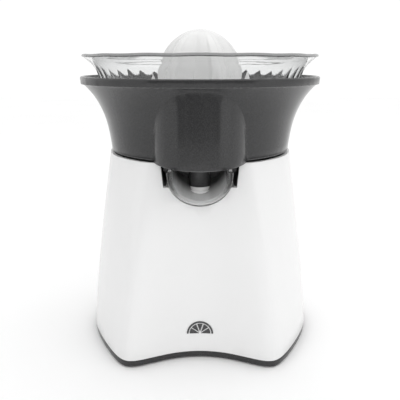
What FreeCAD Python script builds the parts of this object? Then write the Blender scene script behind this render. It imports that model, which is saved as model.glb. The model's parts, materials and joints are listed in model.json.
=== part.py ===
import FreeCAD, Part
import math
import os
import Sketcher

# Electric citrus press, in millimetres. +Z is up, the juice spout faces -Y, and the origin is
# the middle of the footprint at the height of the surface that the feet stand on.

V = FreeCAD.Vector
UP = V(0, 0, 1)
FULL_TURN = 360.0

doc = FreeCAD.newDocument("citrus_press")

# ---------------------------------------------------------------- driving dimensions

DIMENSIONS = (
    ("base_half_width", 92.0),
    ("top_half_width", 72.0),
    ("housing_top", 153.8),
    ("housing_bottom", 6.0),
    ("wall", 2.6),
    ("plate_bottom", 1.2),
    ("plate_top", 5.8),
    ("foot_radius", 7.0),
    ("foot_top", 3.2),
    ("foot_x", 50.0),
    ("foot_y", 67.0),
    ("boss_x", 60.0),
    ("boss_y", 47.0),
    ("boss_radius", 4.5),
    ("screw_radius", 1.5),
    ("deck_bottom", 146.0),
    ("deck_top", 149.0),
    ("hub_radius", 9.0),
    ("hub_top", 179.0),
    ("bush_radius", 6.0),
    ("spindle_radius", 4.0),
    ("spindle_bottom", 96.1),
    ("spindle_shoulder", 186.0),
    ("spindle_top", 206.2),
    ("running_gap", 0.05),
    ("well_half_width", 27.2),
    ("well_centre", 149.2),
    ("well_back", 42.0),
    ("well_split", 137.0),
    ("notch_radius", 23.9),
    ("notch_centre", 146.2),
    ("case_bottom", 88.0),
    ("case_top", 91.0),
    ("cover_bottom", 124.0),
    ("cover_top", 126.5),
    ("post_radius", 4.0),
    ("module_one", 1.0),
    ("module_two", 0.8),
    ("idler_distance", 36.0),
    ("rotor_distance", 28.0),
    ("core_bottom", 52.0),
    ("core_top", 76.0),
    ("rotor_radius", 12.4),
    ("collar_rim_radius", 93.1),
    ("collar_rim_top", 211.6),
    ("collar_band", 5.4),
    ("collar_wall", 2.3),
    ("hood_half_width", 34.5),
    ("hood_front", 88.6),
    ("hood_shoulder", 53.0),
    ("hood_low", 152.1),
    ("chimney_radius", 9.3),
    ("chimney_top", 189.5),
    ("outlet_y", 62.0),
    ("outlet_radius", 7.6),
    ("outlet_bottom", 137.3),
    ("spout_radius", 21.6),
    ("spout_wall", 2.0),
    ("spout_front", 88.0),
    ("spout_back", 50.0),
    ("spout_front_z", 149.6),
    ("spout_back_z", 157.0),
    ("spout_edge_front", 151.4),
    ("spout_edge_back", 156.0),
    ("spout_lip", 1.6),
    ("pivot_y", 53.0),
    ("pivot_z", 150.0),
    ("pivot_radius", 1.5),
    ("bowl_rim_radius", 91.7),
    ("bowl_rim_top", 226.9),
    ("bowl_wall", 1.8),
    ("cone_bottom", 192.5),
    ("cone_top", 246.7),
    ("cone_radius", 41.5),
    ("small_cone_top", 234.6),
    ("gland_z", 24.0),
    ("badge_z", 21.5),
    ("badge_radius", 10.0),
)


def make_sheet():
    """The spreadsheet that holds the driving dimensions, one alias to a row."""
    sheet = doc.addObject("Spreadsheet::Sheet", "Sizes")
    for row, (alias, value) in enumerate(DIMENSIONS, start=1):
        sheet.set("A%d" % row, alias)
        sheet.set("B%d" % row, str(value))
        sheet.setAlias("B%d" % row, alias)
    doc.recompute()
    return sheet


class Size:
    """A length that keeps both its value and the sheet expression it comes from."""

    def __init__(self, value, text):
        self.value = float(value)
        self.text = text

    def __add__(self, other):
        return join(self, "+", other, number(self) + number(other))

    def __radd__(self, other):
        return join(other, "+", self, number(other) + number(self))

    def __sub__(self, other):
        return join(self, "-", other, number(self) - number(other))

    def __rsub__(self, other):
        return join(other, "-", self, number(other) - number(self))

    def __mul__(self, other):
        return join(self, "*", other, number(self) * number(other))

    def __rmul__(self, other):
        return join(other, "*", self, number(other) * number(self))

    def __neg__(self):
        return join(-1, "*", self, -self.value)

    def __float__(self):
        return self.value


def number(size):
    return float(size)


def text(size):
    return size.text if isinstance(size, Size) else repr(float(size))


def join(left, sign, right, value):
    return Size(value, "(%s %s %s)" % (text(left), sign, text(right)))


SHEET = make_sheet()
S = {alias: Size(SHEET.get(alias), "Sizes." + alias) for alias, value in DIMENSIONS}
N = {alias: number(size) for alias, size in S.items()}

# ---------------------------------------------------------------- modelling helpers

AXIS_TURNS = {
    "z": FreeCAD.Rotation(),
    "x": FreeCAD.Rotation(V(0, 1, 0), 90),
    "y": FreeCAD.Rotation(V(1, 0, 0), -90),
}
nodes = []


def bind(item, prop, size):
    """Gives a property its value and, where the size comes from the sheet, its expression."""
    if isinstance(size, Size):
        item.setExpression(prop, size.text)


def place(item, at, axis="z"):
    item.Placement = FreeCAD.Placement(V(*[number(c) for c in at]), AXIS_TURNS[axis])
    for letter, size in zip("xyz", at):
        bind(item, "Placement.Base." + letter, size)


def cylinder(radius, length, at=(0, 0, 0), axis="z"):
    item = doc.addObject("Part::Cylinder", "rod")
    item.Radius = number(radius)
    item.Height = number(length)
    bind(item, "Radius", radius)
    bind(item, "Height", length)
    place(item, at, axis)
    return item


def box(x, y, z):
    """A box from its low and high edge along each axis."""
    item = doc.addObject("Part::Box", "block")
    for prop, (low, high) in zip(("Length", "Width", "Height"), (x, y, z)):
        span = high - low
        setattr(item, prop, number(span))
        bind(item, prop, span)
    place(item, (x[0], y[0], z[0]))
    return item


def prism(sides, across_flats, length, at):
    """A bar of regular section, standing along Z."""
    item = doc.addObject("Part::Prism", "bar")
    item.Polygon = sides
    item.Circumradius = number(across_flats) / 2 / math.cos(math.pi / sides)
    item.Height = number(length)
    bind(item, "Height", length)
    place(item, at)
    return item


def cut(base, *tools):
    item = doc.addObject("Part::Cut", "cut")
    item.Base = base
    item.Tool = tools[0] if len(tools) == 1 else group(*tools)
    return item


def fuse(*shapes):
    item = doc.addObject("Part::MultiFuse", "join")
    item.Shapes = list(shapes)
    return item


def common(*shapes):
    item = doc.addObject("Part::MultiCommon", "overlap")
    item.Shapes = list(shapes)
    return item


def group(*shapes):
    item = doc.addObject("Part::Compound", "set")
    item.Links = list(shapes)
    return item


def solid(shape, label="form"):
    """A form that only curves worked out from the sizes can describe."""
    item = doc.addObject("Part::Feature", label)
    item.Shape = shape
    item.Placement = shape.Placement
    return item


def node(item, label):
    """Marks an object as a sub-part with a name of its own."""
    item.Label = label
    nodes.append(item)
    return item


def tube(outer, inner, low, high, at=(0, 0)):
    length = high - low
    return cut(
        cylinder(outer, length, (at[0], at[1], low)),
        cylinder(inner, length + 2.0, (at[0], at[1], low - 1.0)),
    )


def turned(label, outline):
    """A body of revolution about Z, from a closed outline of (radius, height) corners."""
    body = doc.addObject("PartDesign::Body", label + "_body")
    sketch = body.newObject("Sketcher::SketchObject", label + "_outline")
    plane = [f for f in body.Origin.OriginFeatures if f.Role == "XZ_Plane"][0]
    sketch.AttachmentSupport = [(plane, "")]
    sketch.MapMode = "FlatFace"
    corners = [V(number(r), number(z), 0) for r, z in outline]
    count = len(corners)
    for i in range(count):
        sketch.addGeometry(Part.LineSegment(corners[i], corners[(i + 1) % count]), False)
    for i in range(count):
        sketch.addConstraint(Sketcher.Constraint("Coincident", i, 2, (i + 1) % count, 1))
    for i, (radius, height) in enumerate(outline):
        for kind, size in (("DistanceX", radius), ("DistanceY", height)):
            row = sketch.addConstraint(Sketcher.Constraint(kind, -1, 1, i, 1, number(size)))
            bind(sketch, "Constraints[%d]" % row, size)
    turn = body.newObject("PartDesign::Revolution", label + "_turn")
    turn.Profile = sketch
    turn.ReferenceAxis = (sketch, ["V_Axis"])
    turn.Angle = FULL_TURN
    return node(body, label)


def screw(at, low, high, radius=1.5, head_radius=3.2, head=2.2, head_down=True):
    """A pan-head screw along Z; low is its lower end and high its upper end."""
    head_low = low if head_down else high - head
    return fuse(
        cylinder(radius, high - low, (at[0], at[1], low)),
        cylinder(head_radius, head, (at[0], at[1], head_low)),
    )


def corners(x, y):
    """The four corners of a rectangle about the origin."""
    return [(a * x, b * y) for a in (-1, 1) for b in (-1, 1)]


def spline(points, periodic=False):
    curve = Part.BSplineCurve()
    if periodic:
        curve.interpolate(Points=points, PeriodicFlag=True)
    else:
        curve.interpolate(points)
    return curve


def offset(points, distance):
    """Moves an open (radius, height) line to its left by a distance."""
    moved = []
    last = len(points) - 1
    for i, (radius, height) in enumerate(points):
        before = points[max(i - 1, 0)]
        after = points[min(i + 1, last)]
        run, rise = after[0] - before[0], after[1] - before[1]
        span = math.hypot(run, rise)
        moved.append((radius - rise / span * distance, height + run / span * distance))
    return moved


def profile_edge(points):
    return spline([V(r, 0, z) for r, z in points]).toShape()


def revolve(edges):
    face = Part.Face(Part.Wire(Part.__sortEdges__(edges)))
    return face.revolve(V(0, 0, 0), UP, FULL_TURN)


def line(a, b):
    return Part.makeLine(V(a[0], 0, a[1]), V(b[0], 0, b[1]))


# ---------------------------------------------------------------- housing and base

# A quarter of the plan, from the side (+X) round the corner to the front, at the floor and at
# the top edge. The plan is round at the top and four-cornered with a hollow front at the floor.
PLAN_FLOOR = ((92.0, 0.0), (89.8, 17.0), (84.5, 33.0), (76.0, 51.0), (65.5, 69.0), (55.0, 79.0),
              (40.0, 76.0), (20.0, 68.0), (0.0, 65.0))
PLAN_TOP = ((72.0, 0.0), (70.4, 16.5), (65.6, 32.0), (57.0, 46.5), (46.5, 57.6), (35.0, 65.2),
            (25.0, 66.8), (12.5, 67.0), (0.0, 67.0))
FLARE_POWER = 1.3
SECTION_HEIGHTS = (0.0, 30.0, 60.0, 90.0, 122.0, 153.8)


def plan_points(height, grow):
    """The housing's closed plan at a height, moved outwards by grow."""
    spread = 1.0 - (height / N["housing_top"]) ** FLARE_POWER
    floor_scale = N["base_half_width"] / PLAN_FLOOR[0][0]
    top_scale = N["top_half_width"] / PLAN_TOP[0][0]
    quarter = []
    for (fx, fy), (tx, ty) in zip(PLAN_FLOOR, PLAN_TOP):
        x = tx * top_scale + (fx * floor_scale - tx * top_scale) * spread
        y = ty * top_scale + (fy * floor_scale - ty * top_scale) * spread
        quarter.append((x, y))
    ring = list(quarter)
    ring += [(-x, y) for x, y in reversed(quarter[:-1])]
    ring += [(x, -y) for x, y in reversed(ring[1:-1])]
    count = len(ring)
    points = []
    for i, (x, y) in enumerate(ring):
        before, after = ring[i - 1], ring[(i + 1) % count]
        dx, dy = after[0] - before[0], after[1] - before[1]
        span = math.hypot(dx, dy)
        points.append(V(x + dy / span * grow, y - dx / span * grow, height))
    return points


def housing_block(low, high, grow=0.0):
    """The housing's outer form between two heights, moved outwards by grow."""
    heights = [low] + [z for z in SECTION_HEIGHTS if low + 8.0 < z < high - 8.0] + [high]
    wires = [Part.Wire([spline(plan_points(z, grow), True).toShape()]) for z in heights]
    return Part.makeLoft(wires, True, False)


def channel(half_width, centre, back, front, top):
    """A U-shaped bar along Y: a round bottom with straight sides up to the top."""
    length = front - back
    return fuse(
        cylinder(half_width, length, (0, -front, centre), "y"),
        box((-half_width, half_width), (-front, -back), (centre, top)),
    )


def make_housing():
    top, bottom = N["housing_top"], N["housing_bottom"]
    outer = solid(housing_block(bottom, top))
    inner = solid(housing_block(bottom, top, -N["wall"]))
    shell = cut(outer, inner)
    mounts = []
    for x, y in corners(1, 1):
        mounts.append(cylinder(S["boss_radius"], 24.0,
                               (x * S["boss_x"], y * S["boss_y"], S["housing_bottom"])))
        web = box((x * 74.0 - 14.0, x * 74.0 + 14.0), (y * 47.0 - 1.2, y * 47.0 + 1.2), (6.0, 28.0))
        mounts.append(web)
    outer_again = solid(housing_block(bottom, top, -0.4))
    bosses = common(fuse(*mounts), outer_again)
    holes = [cylinder(S["screw_radius"], 18.0, (x * S["boss_x"], y * S["boss_y"], 5.0))
             for x, y in corners(1, 1)]
    shoulders = solid(notch_shoulders())
    throat = channel(S["notch_radius"], S["notch_centre"], 50.0, 90.0, 160.0)
    inlet = cylinder(6.2, 20.0, (0, 55.0, S["gland_z"]), "y")
    node(cut(fuse(shell, bosses), shoulders, throat, inlet, *holes), "main_housing")


def notch_shoulders():
    """The wide upper part of the front notch, whose sides lean in towards the bottom."""
    top, bottom = 160.0, 136.6
    wide, narrow = 28.4, 26.0
    outline = [V(-wide, -90, top), V(-narrow, -90, bottom), V(narrow, -90, bottom), V(wide, -90, top)]
    face = Part.Face(Part.makePolygon(outline + outline[:1]))
    return face.extrude(V(0, 40, 0))


def make_base():
    low, high = N["plate_bottom"], N["plate_top"]
    tray = solid(housing_block(low, high, -0.5))
    hollow = solid(housing_block(3.6, high + 0.01, -7.0))
    pads = [cylinder(9.5, 4.4, (x * S["foot_x"], y * S["foot_y"], 1.4)) for x, y in corners(1, 1)]
    pads += [cylinder(6.0, 4.4, (x * S["boss_x"], y * S["boss_y"], 1.4)) for x, y in corners(1, 1)]
    sockets = [cylinder(S["foot_radius"], S["foot_top"] - 1.0, (x * S["foot_x"], y * S["foot_y"], 1.0))
               for x, y in corners(1, 1)]
    screws = []
    for x, y in corners(1, 1):
        at = (x * S["boss_x"], y * S["boss_y"])
        sockets.append(cylinder(1.7, 8.0, (at[0], at[1], 0.0)))
        sockets.append(cylinder(3.6, 3.0, (at[0], at[1], 0.9)))
        screws.append(screw(at, 1.6, 20.0))
    node(cut(fuse(cut(tray, hollow), *pads), *sockets), "base_plate")
    node(group(*screws), "base_screws")
    feet = [cylinder(S["foot_radius"], S["foot_top"], (x * S["foot_x"], y * S["foot_y"], 0.0))
            for x, y in corners(1, 1)]
    node(group(*feet), "rubber_feet")


def make_badge():
    """A half slice of citrus: a rind and five segments, standing 0.5 proud of the front."""
    proud = solid(housing_block(N["housing_bottom"], 60.0, 0.5))
    skin = solid(housing_block(N["housing_bottom"], 60.0))
    radius = S["badge_radius"]
    at = (0, -80.0, S["badge_z"])
    rind = cut(cylinder(radius, 30.0, at, "y"), cylinder(radius - 1.3, 32.0, (0, -81.0, at[2]), "y"))
    flesh = cylinder(radius - 2.1, 30.0, at, "y")
    centre = V(0, -81.0, N["badge_z"])
    gaps = []
    for k in range(1, 5):
        angle = math.pi * k / 5
        spoke = Part.makeBox(12.0, 34.0, 0.9, V(0, 0, -0.45))
        spoke.rotate(V(0, 0, 0), V(0, 1, 0), -math.degrees(angle))
        spoke.translate(centre)
        gaps.append(solid(spoke))
    above = box((-12.0, 12.0), (-82.0, -40.0), (at[2], at[2] + 14.0))
    slice_form = common(fuse(rind, cut(flesh, *gaps)), above)
    node(cut(common(slice_form, proud), skin), "front_badge")


def make_gland():
    """The bush in the back wall that the mains lead passes through."""
    z = S["gland_z"]
    barrel = cylinder(6.0, 9.6, (0, 58.5, z), "y")
    flange = cylinder(8.2, 2.2, (0, 65.9, z), "y")
    ring = cylinder(7.6, 1.8, (0, 60.2, z), "y")
    node(cut(fuse(barrel, flange, ring), cylinder(3.4, 14.0, (0, 57.0, z), "y")), "cord_gland")


# ---------------------------------------------------------------- deck and gear case

POSTS = ((-38.0, -10.0), (38.0, -10.0), (-37.0, 40.0), (37.0, 40.0))


def make_deck():
    """The dark inner top, with a hub, a support ring and the white-bottomed well for the spout."""
    disc = solid(housing_block(N["deck_bottom"], N["deck_top"], -N["wall"] - 0.3))
    limit = solid(housing_block(100.0, N["housing_top"], -N["wall"] - 0.3))
    hub_length = S["hub_top"] - S["deck_bottom"]
    hub = cylinder(S["hub_radius"], hub_length, (0, 0, S["deck_bottom"]))
    foot = cylinder(S["hub_radius"] + 5.0, 6.0, (0, 0, S["deck_top"]))
    ring = tube(60.0, 58.0, S["deck_top"] - 1.0, 158.2)
    outer_well = channel(S["well_half_width"] + 2.0, S["well_centre"], 40.0, 80.0, 160.0)
    above_deck = box((-40.0, 40.0), (-90.0, -20.0), (S["deck_top"], 190.0))
    above_split = box((-40.0, 40.0), (-90.0, -20.0), (S["well_split"], 190.0))
    below_split = box((-40.0, 40.0), (-90.0, -20.0), (100.0, S["well_split"]))
    sides = common(cut(outer_well, above_deck, below_split), limit)
    trough = common(cut(outer_well, above_split), limit)
    space = channel(S["well_half_width"], S["well_centre"], S["well_back"], 90.0, 190.0)
    bore = cylinder(S["bush_radius"], hub_length + 2.0, (0, 0, S["deck_bottom"] - 1.0))
    holes = [cylinder(S["screw_radius"] + 0.2, 5.0, (x, y, 145.0)) for x, y in POSTS]
    node(cut(fuse(disc, hub, foot, ring, sides), space, bore, *holes), "motor_deck")
    node(cut(trough, space), "spout_well")
    screws = [screw((x, y), 138.0, 151.2, head_down=False) for x, y in POSTS]
    node(group(*screws), "deck_screws")


def sleeve(inner, outer, low, high):
    """The outline of a plain sleeve, for turning about Z."""
    return ((inner, low), (outer, low), (outer, high), (inner, high))


def make_bush_and_seal():
    bore = S["spindle_radius"] + S["running_gap"]
    turned("spindle_bush", sleeve(bore, S["bush_radius"], 158.0, S["hub_top"] - 0.5))
    turned("spindle_seal", sleeve(S["spindle_radius"] + 0.3, 8.6, S["hub_top"], S["hub_top"] + 2.0))


def plate(low, high):
    return box((-47.0, 47.0), (-36.0, 57.0), (low, high))


def make_gear_case():
    low, high = S["case_bottom"], S["case_top"]
    idler = (0, S["idler_distance"])
    rotor = (-S["rotor_distance"], S["idler_distance"])
    posts = [cylinder(S["post_radius"], S["deck_bottom"] - S["case_bottom"], (x, y, low)) for x, y in POSTS]
    hangers = [cylinder(4.5, S["case_bottom"] - S["core_top"] + 1.0, (x, y, S["core_top"]))
               for x, y in MOTOR_SCREWS]
    holes = [cylinder(6.9, 8.0, (0, 0, 86.0))]
    holes.append(cylinder(2.5, 8.0, (idler[0], idler[1], 86.0)))
    holes.append(cylinder(4.0, 8.0, (rotor[0], rotor[1], 86.0)))
    holes += [cylinder(S["screw_radius"], 9.0, (x, y, 137.5)) for x, y in POSTS]
    holes += [cylinder(2.0, 11.0, (x, y, 75.0)) for x, y in MOTOR_SCREWS]
    node(cut(fuse(plate(low, high), *posts, *hangers), *holes), "gearbox_case")
    openings = [cylinder(S["post_radius"] + 0.2, 6.0, (x, y, 122.0)) for x, y in POSTS]
    openings.append(cylinder(5.0, 6.0, (0, 0, 122.0)))
    openings.append(cylinder(2.5, 6.0, (idler[0], idler[1], 122.0)))
    node(cut(plate(S["cover_bottom"], S["cover_top"]), *openings), "gearbox_cover")
    node(cylinder(2.5, S["cover_top"] - low, (idler[0], idler[1], low)), "idler_pin")


# ---------------------------------------------------------------- gears

PRESSURE_ANGLE = math.radians(25)
ADDENDUM = 0.8
DEDENDUM = 1.05
BACKLASH = 0.07


def gear_blank(teeth, module, low, high, centre, phase):
    """An involute spur gear without its bore; phase is the angle of one tooth's middle."""
    pitch = teeth * module / 2
    base = pitch * math.cos(PRESSURE_ANGLE)
    tip = pitch + ADDENDUM * module
    root = pitch - DEDENDUM * module
    start = max(base, root + 0.02)
    involute_at_pitch = math.tan(PRESSURE_ANGLE) - PRESSURE_ANGLE
    half_tooth = math.pi / (2 * teeth) - BACKLASH / pitch

    def flank_angle(radius):
        pressure = math.acos(min(1.0, base / radius))
        return half_tooth + involute_at_pitch - (math.tan(pressure) - pressure)

    steps = 4
    radii = [start + (tip - start) * k / steps for k in range(steps + 1)]
    points = []
    for tooth in range(teeth):
        middle = phase + tooth * 2 * math.pi / teeth
        left = [(root, -flank_angle(start))] + [(r, -flank_angle(r)) for r in radii]
        right = [(r, -a) for r, a in reversed(left)]
        points += [V(r * math.cos(middle + a), r * math.sin(middle + a), 0) for r, a in left + right]
    face = Part.Face(Part.makePolygon(points + points[:1]))
    blank = face.extrude(V(0, 0, high - low))
    blank.translate(V(centre[0], centre[1], low))
    return blank


def make_gears():
    one, two = N["module_one"], N["module_two"]
    idler = (0.0, N["idler_distance"])
    rotor = (-N["rotor_distance"], N["idler_distance"])
    gap = S["running_gap"]
    wheel = solid(gear_blank(60, one, 112.0, 120.0, (0, 0), 0.0))
    hub = cylinder(9.0, 13.0, (0, 0, 108.0))
    bore = cylinder(S["spindle_radius"], 16.0, (0, 0, 106.0))
    recess = tube(26.0, 11.0, 116.5, 121.0)
    node(cut(fuse(wheel, hub), recess, bore), "output_gear")
    idler_wheel = solid(gear_blank(60, two, 100.0, 106.0, idler, 0.0))
    idler_pinion = solid(gear_blank(12, one, 105.5, 121.5, idler, math.pi / 12))
    idler_hub = cylinder(5.0, 9.0, (idler[0], idler[1], 91.3))
    idler_bore = cylinder(2.5 + gap, 40.0, (idler[0], idler[1], 85.0))
    node(cut(fuse(idler_wheel, idler_pinion, idler_hub), idler_bore), "idler_gear")
    pinion = solid(gear_blank(10, two, 98.5, 107.0, rotor, math.pi / 10))
    node(cut(pinion, cylinder(2.0, 20.0, (rotor[0], rotor[1], 90.0))), "rotor_pinion")


# ---------------------------------------------------------------- motor

MOTOR_SCREWS = ((-41.0, 49.0), (-41.0, 23.0), (27.0, 36.0))


def make_motor():
    """A two-coil synchronous motor: a U core, with a magnet rotor between its poles."""
    x, y = -N["rotor_distance"], N["idler_distance"]
    low, high = S["core_bottom"], S["core_top"]
    poles = box((x - 17.0, x + 17.0), (y - 17.0, y + 17.0), (low, high))
    legs = [box((x + 10.0, 24.0), (y + side - 4.0, y + side + 4.0), (low, high)) for side in (-13.0, 13.0)]
    yoke = box((22.0, 32.0), (y - 17.0, y + 17.0), (low, high))
    bore = cylinder(S["rotor_radius"] + 0.6, 30.0, (x, y, 50.0))
    slot = box((x - 18.0, x + 18.0), (y - 1.5, y + 1.5), (50.0, 78.0))
    holes = [cylinder(2.0, 30.0, (sx, sy, 50.0)) for sx, sy in MOTOR_SCREWS]
    node(cut(fuse(poles, *legs, yoke), bore, slot, *holes), "stator_core")
    bobbins, windings = [], []
    for side in (-13.0, 13.0):
        middle = y + side
        leg = box((-12.0, 23.0), (middle - 4.0, middle + 4.0), (low, high))
        barrel = box((-10.0, 21.0), (middle - 5.0, middle + 5.0), (low - 1.0, high + 1.0))
        ends = [box((a, a + 1.5), (middle - 9.5, middle + 9.5), (47.0, 81.0)) for a in (-10.0, 19.5)]
        bobbins.append(cut(fuse(barrel, *ends), leg))
        coil = box((-8.5, 19.5), (middle - 9.0, middle + 9.0), (47.5, 80.5))
        windings.append(cut(coil, box((-9.5, 20.5), (middle - 5.0, middle + 5.0), (low - 1.0, high + 1.0))))
    node(group(*bobbins), "coil_bobbins")
    node(group(*windings), "coil_windings")
    bar = box((-47.0, 33.0), (y - 7.0, y + 7.0), (41.0, 43.5))
    cross = box((-47.0, -35.0), (18.0, 54.0), (41.0, 43.5))
    standoffs = [cylinder(4.5, S["core_bottom"] - 42.0, (sx, sy, 42.0)) for sx, sy in MOTOR_SCREWS]
    holes = [cylinder(2.0, 14.0, (sx, sy, 40.0)) for sx, sy in MOTOR_SCREWS]
    lower_seat = cylinder(4.0, 6.0, (x, y, 40.0))
    node(cut(fuse(bar, cross, *standoffs), lower_seat, *holes), "motor_bracket")
    screws = [screw(at, 38.8, 84.0, radius=2.0, head_radius=3.8) for at in MOTOR_SCREWS]
    node(group(*screws), "motor_screws")
    gap = S["running_gap"]
    bushes = [tube(4.0, 2.0 + gap, 40.5, 46.5, (x, y)), tube(4.0, 2.0 + gap, 86.5, 93.0, (x, y))]
    node(group(*bushes), "rotor_bushes")
    node(cylinder(2.0, 67.0, (x, y, 41.0)), "rotor_shaft")
    node(tube(S["rotor_radius"], 2.0, low, high, (x, y)), "rotor_magnet")


# ---------------------------------------------------------------- spindle, thrust cup and switch

def make_spindle():
    radius = S["spindle_radius"]
    shaft = cylinder(radius, S["spindle_shoulder"] - S["spindle_bottom"], (0, 0, S["spindle_bottom"]))
    hex_end = prism(6, 6.0, S["spindle_top"] - S["spindle_shoulder"] + 1.0, (0, 0, S["spindle_shoulder"] - 1.0))
    groove = tube(6.0, 3.2, 121.2, 122.0)
    node(cut(fuse(shaft, hex_end), groove), "drive_spindle")
    mouth = box((-1.8, 1.8), (0.0, 8.0), (120.0, 123.0))
    node(cut(tube(6.6, 3.2, 121.2, 122.0), mouth), "spindle_clip")


def make_thrust_cup():
    """The cup that carries the spindle's foot on the return spring and works the switch."""
    foot = S["spindle_bottom"] - 0.1
    node(cut(
        fuse(cylinder(6.5, 20.0, (0, 0, 80.0)), cylinder(10.0, 2.0, (0, 0, 98.0))),
        cylinder(S["spindle_radius"] + S["running_gap"], 8.0, (0, 0, foot)),
    ), "thrust_cup")


def make_return_spring():
    """A compression spring between the gear case and the thrust cup's flange."""
    wire_radius, coil_radius = 0.6, 8.2
    low, high = N["case_top"] + wire_radius, 98.0 - wire_radius
    turns = 3
    helix = Part.makeHelix((high - low) / turns, high - low, coil_radius)
    helix.translate(V(0, 0, low))
    section = Part.Wire([Part.makeCircle(wire_radius, V(coil_radius, 0, low), V(0, 1, 0.13))])
    spring = Part.Wire(helix).makePipeShell([section], True, True)
    node(solid(spring), "return_spring")


def make_switch():
    case = box((-10.0, 10.0), (-4.5, 4.5), (61.0, 75.5))
    throat = cylinder(2.3, 8.0, (0, 0, 70.0))
    tabs = [box((x - 1.5, x + 1.5), (-0.4, 0.4), (57.0, 61.5)) for x in (-7.0, 7.0)]
    node(fuse(cut(case, throat), *tabs), "micro_switch")
    node(cylinder(2.0, 6.6, (0, 0, 73.2)), "switch_button")
    column = box((-11.5, 11.5), (-7.0, -4.5), (3.6, 74.0))
    foot = box((-11.5, 11.5), (-16.0, -4.5), (3.6, 6.0))
    node(fuse(column, foot), "switch_bracket")


# ---------------------------------------------------------------- juice collector

COLLAR_LINE = ((70.8, 155.2), (71.6, 162.1), (72.8, 170.1), (74.5, 178.0), (77.2, 185.8),
               (81.0, 193.6), (86.5, 201.3), (91.2, 206.2))
FLOOR_EDGE = 160.4
FLOOR_RISE = 4.0


def collar_filled(inset=0.0):
    """The collector's outer form as if it were solid, down past its lower edge."""
    points = offset(COLLAR_LINE, inset) if inset else COLLAR_LINE
    low, high = points[0], points[-1]
    edges = [profile_edge(points)]
    edges.append(line(high, (0, high[1])))
    edges.append(line((0, high[1]), (0, 140.0)))
    edges.append(line((0, 140.0), (low[0], 140.0)))
    edges.append(line((low[0], 140.0), low))
    return revolve(edges)


def collar_shell():
    rim, top, band = N["collar_rim_radius"], N["collar_rim_top"], N["collar_band"]
    wall = N["collar_wall"]
    outer = COLLAR_LINE
    inner = offset(outer, wall)
    inner[0] = (outer[0][0] - wall, outer[0][1])
    lip = (rim - 0.4, top - band)
    corner = (rim, top - 0.9)
    crown = (rim - 0.8, top)
    lip_in = (rim - wall, top)
    edges = [profile_edge(outer), profile_edge(inner)]
    edges.append(line(outer[-1], lip))
    edges.append(line(lip, corner))
    edges.append(line(corner, crown))
    edges.append(line(crown, lip_in))
    edges.append(line(lip_in, inner[-1]))
    edges.append(line(inner[0], outer[0]))
    return revolve(edges)


def collar_floor():
    """The sloping floor and the chimney that the spindle's hub stands in."""
    wall = N["collar_wall"]
    edge, rise = FLOOR_EDGE, FLOOR_RISE
    chimney, top = N["chimney_radius"], N["chimney_top"]
    outline = [(70.0, edge - wall), (70.0, edge), (chimney + 4.2, edge + rise), (chimney + 4.2, 183.2),
               (chimney + 2.0, 183.2), (chimney + 2.0, top), (chimney, top), (chimney, edge + rise - wall)]
    closed = outline + outline[:1]
    return revolve([line(a, b) for a, b in zip(closed, closed[1:])])


def hood_plan(inset, low, high):
    """The front hood's upright form: straight sides and a half-elliptical front."""
    half = N["hood_half_width"] - inset
    shoulder, front = N["hood_shoulder"], N["hood_front"] - inset
    depth = front - shoulder
    if depth > half:
        arc = Part.Ellipse(V(0, -front, low), V(half, -shoulder, low), V(0, -shoulder, low))
    else:
        arc = Part.Ellipse(V(half, -shoulder, low), V(0, -front, low), V(0, -shoulder, low))
    ends = (V(-half, -shoulder, low), V(half, -shoulder, low))
    trims = sorted(arc.parameter(p) for p in ends)
    for first, last in (trims, (trims[1], trims[0] + 2 * math.pi)):
        edge = Part.ArcOfEllipse(arc, first, last).toShape()
        if edge.valueAt((edge.FirstParameter + edge.LastParameter) / 2).y < -shoulder:
            break
    back = [V(half, -40, low), V(-half, -40, low)]
    sides = [Part.makeLine(ends[1], back[0]), Part.makeLine(back[0], back[1]), Part.makeLine(back[1], ends[0])]
    face = Part.Face(Part.Wire(Part.__sortEdges__([edge] + sides)))
    return face.extrude(V(0, 0, high - low))


def make_collector():
    shell = solid(collar_shell())
    floor = common(solid(collar_floor()), solid(collar_filled(1.0)))
    hood = cut(solid(hood_plan(0.0, 150.0, 206.0)), solid(hood_plan(N["collar_wall"], 149.0, 207.0)),
               solid(collar_filled(0.6)))
    brow = box((-40.0, 40.0), (-100.0, -40.0), (140.0, 152.5))
    slope = solid(hood_trim())
    outlet_at = (0, -S["outlet_y"], S["outlet_bottom"])
    outlet = cylinder(S["outlet_radius"], 160.0 - S["outlet_bottom"], outlet_at)
    outlet_bore = cylinder(S["outlet_radius"] - 2.4, 30.0, (0, -S["outlet_y"], S["outlet_bottom"] - 1.0))
    lugs = []
    for side in (-1, 1):
        x = (23.8, 26.4) if side > 0 else (-26.4, -23.8)
        lugs.append(box(x, (-S["pivot_y"] - 4.0, -S["pivot_y"] + 4.0), (146.0, 159.5)))
    pin_holes = cylinder(S["pivot_radius"], 60.0, (-30.0, -S["pivot_y"], S["pivot_z"]), "x")
    gate = box((-27.5, 27.5), (-80.0, -58.0), (150.0, 157.6))
    body = fuse(cut(shell, gate), cut(floor, gate), cut(hood, brow, slope), outlet, *lugs)
    node(cut(body, outlet_bore, pin_holes), "juice_collector")
    pins = []
    for side in (-1, 1):
        start = 20.4 if side > 0 else -26.9
        pins.append(cylinder(S["pivot_radius"], 6.5, (start, -S["pivot_y"], S["pivot_z"]), "x"))
    node(group(*pins), "spout_hinge_pins")


def hood_trim():
    """What is cut off under the hood, so that its lower edge drops a little to the front."""
    outline = [V(-40, -60, 154.6), V(-40, -90, N["hood_low"]), V(-40, -90, 140), V(-40, -60, 140)]
    face = Part.Face(Part.makePolygon(outline + outline[:1]))
    return face.extrude(V(80, 0, 0))


# ---------------------------------------------------------------- drip spout

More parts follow.
